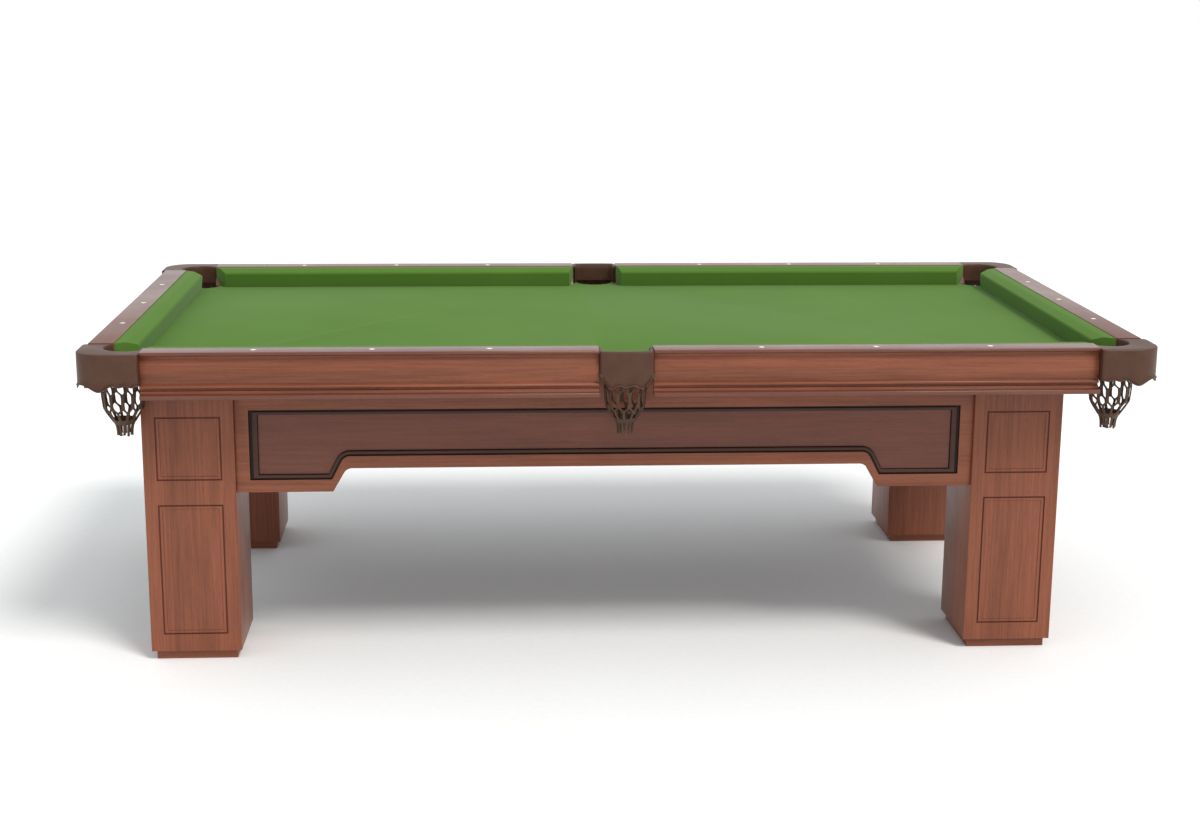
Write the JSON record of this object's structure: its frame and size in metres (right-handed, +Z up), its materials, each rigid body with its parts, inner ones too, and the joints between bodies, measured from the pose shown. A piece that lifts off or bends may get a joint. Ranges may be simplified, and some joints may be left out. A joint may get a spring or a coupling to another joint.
{
  "type": "pool table",
  "caption": "Wooden pool table with a slate bed, green cloth, leather drop pockets with nets, a moulded rail blind and an arched, panelled base on square legs with levelling feet.",
  "frame": {"origin": "on the floor under the centre of the table top", "axes": "+X along the length of the table, +Y across it, away from the front, +Z up"},
  "size_m": [2.5944, 1.428, 0.8],
  "materials": {
    "mahogany": "satin",
    "frame_timber": "matte",
    "cloth": "matte",
    "cushion_cloth": "matte",
    "leather": "satin",
    "netting": "satin",
    "slate": "matte",
    "steel": "satin",
    "sight": "gloss"
  },
  "bodies": {
    "table": {"leg_front_left": "mahogany", "leg_front_right": "mahogany", "leg_back_left": "mahogany", "leg_back_right": "mahogany", "levelling_plate_front_left": "steel", "levelling_plate_front_right": "steel", "levelling_plate_back_left": "steel", "levelling_plate_back_right": "steel", "side_apron_front": "mahogany", "side_apron_back": "mahogany", "end_apron_left": "mahogany", "end_apron_right": "mahogany", "cross_beam_left": "frame_timber", "cross_beam_centre": "frame_timber", "cross_beam_right": "frame_timber", "slate_left": "slate", "slate_centre": "slate", "slate_right": "slate", "bed_cloth": "cloth", "rail_front_left": "mahogany", "rail_blind_front_left": "mahogany", "cushion_front_left": "cushion_cloth", "rail_front_right": "mahogany", "rail_blind_front_right": "mahogany", "cushion_front_right": "cushion_cloth", "rail_back_left": "mahogany", "rail_blind_back_left": "mahogany", "cushion_back_left": "cushion_cloth", "rail_back_right": "mahogany", "rail_blind_back_right": "mahogany", "cushion_back_right": "cushion_cloth", "rail_end_left": "mahogany", "rail_blind_end_left": "mahogany", "cushion_end_left": "cushion_cloth", "rail_end_right": "mahogany", "rail_blind_end_right": "mahogany", "cushion_end_right": "cushion_cloth", "pocket_leather_front_left": "leather", "pocket_net_front_left": "netting", "pocket_leather_front_middle": "leather", "pocket_net_front_middle": "netting", "pocket_leather_front_right": "leather", "pocket_net_front_right": "netting", "pocket_leather_back_left": "leather", "pocket_net_back_left": "netting", "pocket_leather_back_middle": "leather", "pocket_net_back_middle": "netting", "pocket_leather_back_right": "leather", "pocket_net_back_right": "netting"},
    "foot_front_left": {"leg_foot_front_left": "mahogany"},
    "screw_front_left": {"levelling_screw_front_left": "steel"},
    "foot_front_right": {"leg_foot_front_right": "mahogany"},
    "screw_front_right": {"levelling_screw_front_right": "steel"},
    "foot_back_left": {"leg_foot_back_left": "mahogany"},
    "screw_back_left": {"levelling_screw_back_left": "steel"},
    "foot_back_right": {"leg_foot_back_right": "mahogany"},
    "screw_back_right": {"levelling_screw_back_right": "steel"}
  },
  "joints": [
    {"name": "foot_lift_front_left", "type": "slide", "parent": "table", "child": "foot_front_left", "axis": [0, 0, -1], "range_m": [0, 0.012]},
    {"name": "screw_turn_front_left", "type": "hinge", "parent": "foot_front_left", "child": "screw_front_left", "pos_m": [-1.05415, -0.46035, 0], "axis": [0, 0, 1], "range_deg": [0, 2160.5]},
    {"name": "foot_lift_front_right", "type": "slide", "parent": "table", "child": "foot_front_right", "axis": [0, 0, -1], "range_m": [0, 0.012]},
    {"name": "screw_turn_front_right", "type": "hinge", "parent": "foot_front_right", "child": "screw_front_right", "pos_m": [0.98415, -0.46035, 0], "axis": [0, 0, 1], "range_deg": [0, 2160.5]},
    {"name": "foot_lift_back_left", "type": "slide", "parent": "table", "child": "foot_back_left", "axis": [0, 0, -1], "range_m": [0, 0.012]},
    {"name": "screw_turn_back_left", "type": "hinge", "parent": "foot_back_left", "child": "screw_back_left", "pos_m": [-1.05415, 0.46035, 0], "axis": [0, 0, 1], "range_deg": [0, 2160.5]},
    {"name": "foot_lift_back_right", "type": "slide", "parent": "table", "child": "foot_back_right", "axis": [0, 0, -1], "range_m": [0, 0.012]},
    {"name": "screw_turn_back_right", "type": "hinge", "parent": "foot_back_right", "child": "screw_back_right", "pos_m": [0.98415, 0.46035, 0], "axis": [0, 0, 1], "range_deg": [0, 2160.5]}
  ],
  "couplings": [
    {"joint": "screw_turn_front_left", "follows": "foot_lift_front_left", "rad_per_m": 3141.6},
    {"joint": "screw_turn_front_right", "follows": "foot_lift_front_right", "rad_per_m": 3141.6},
    {"joint": "screw_turn_back_left", "follows": "foot_lift_back_left", "rad_per_m": 3141.6},
    {"joint": "screw_turn_back_right", "follows": "foot_lift_back_right", "rad_per_m": 3141.6}
  ]
}
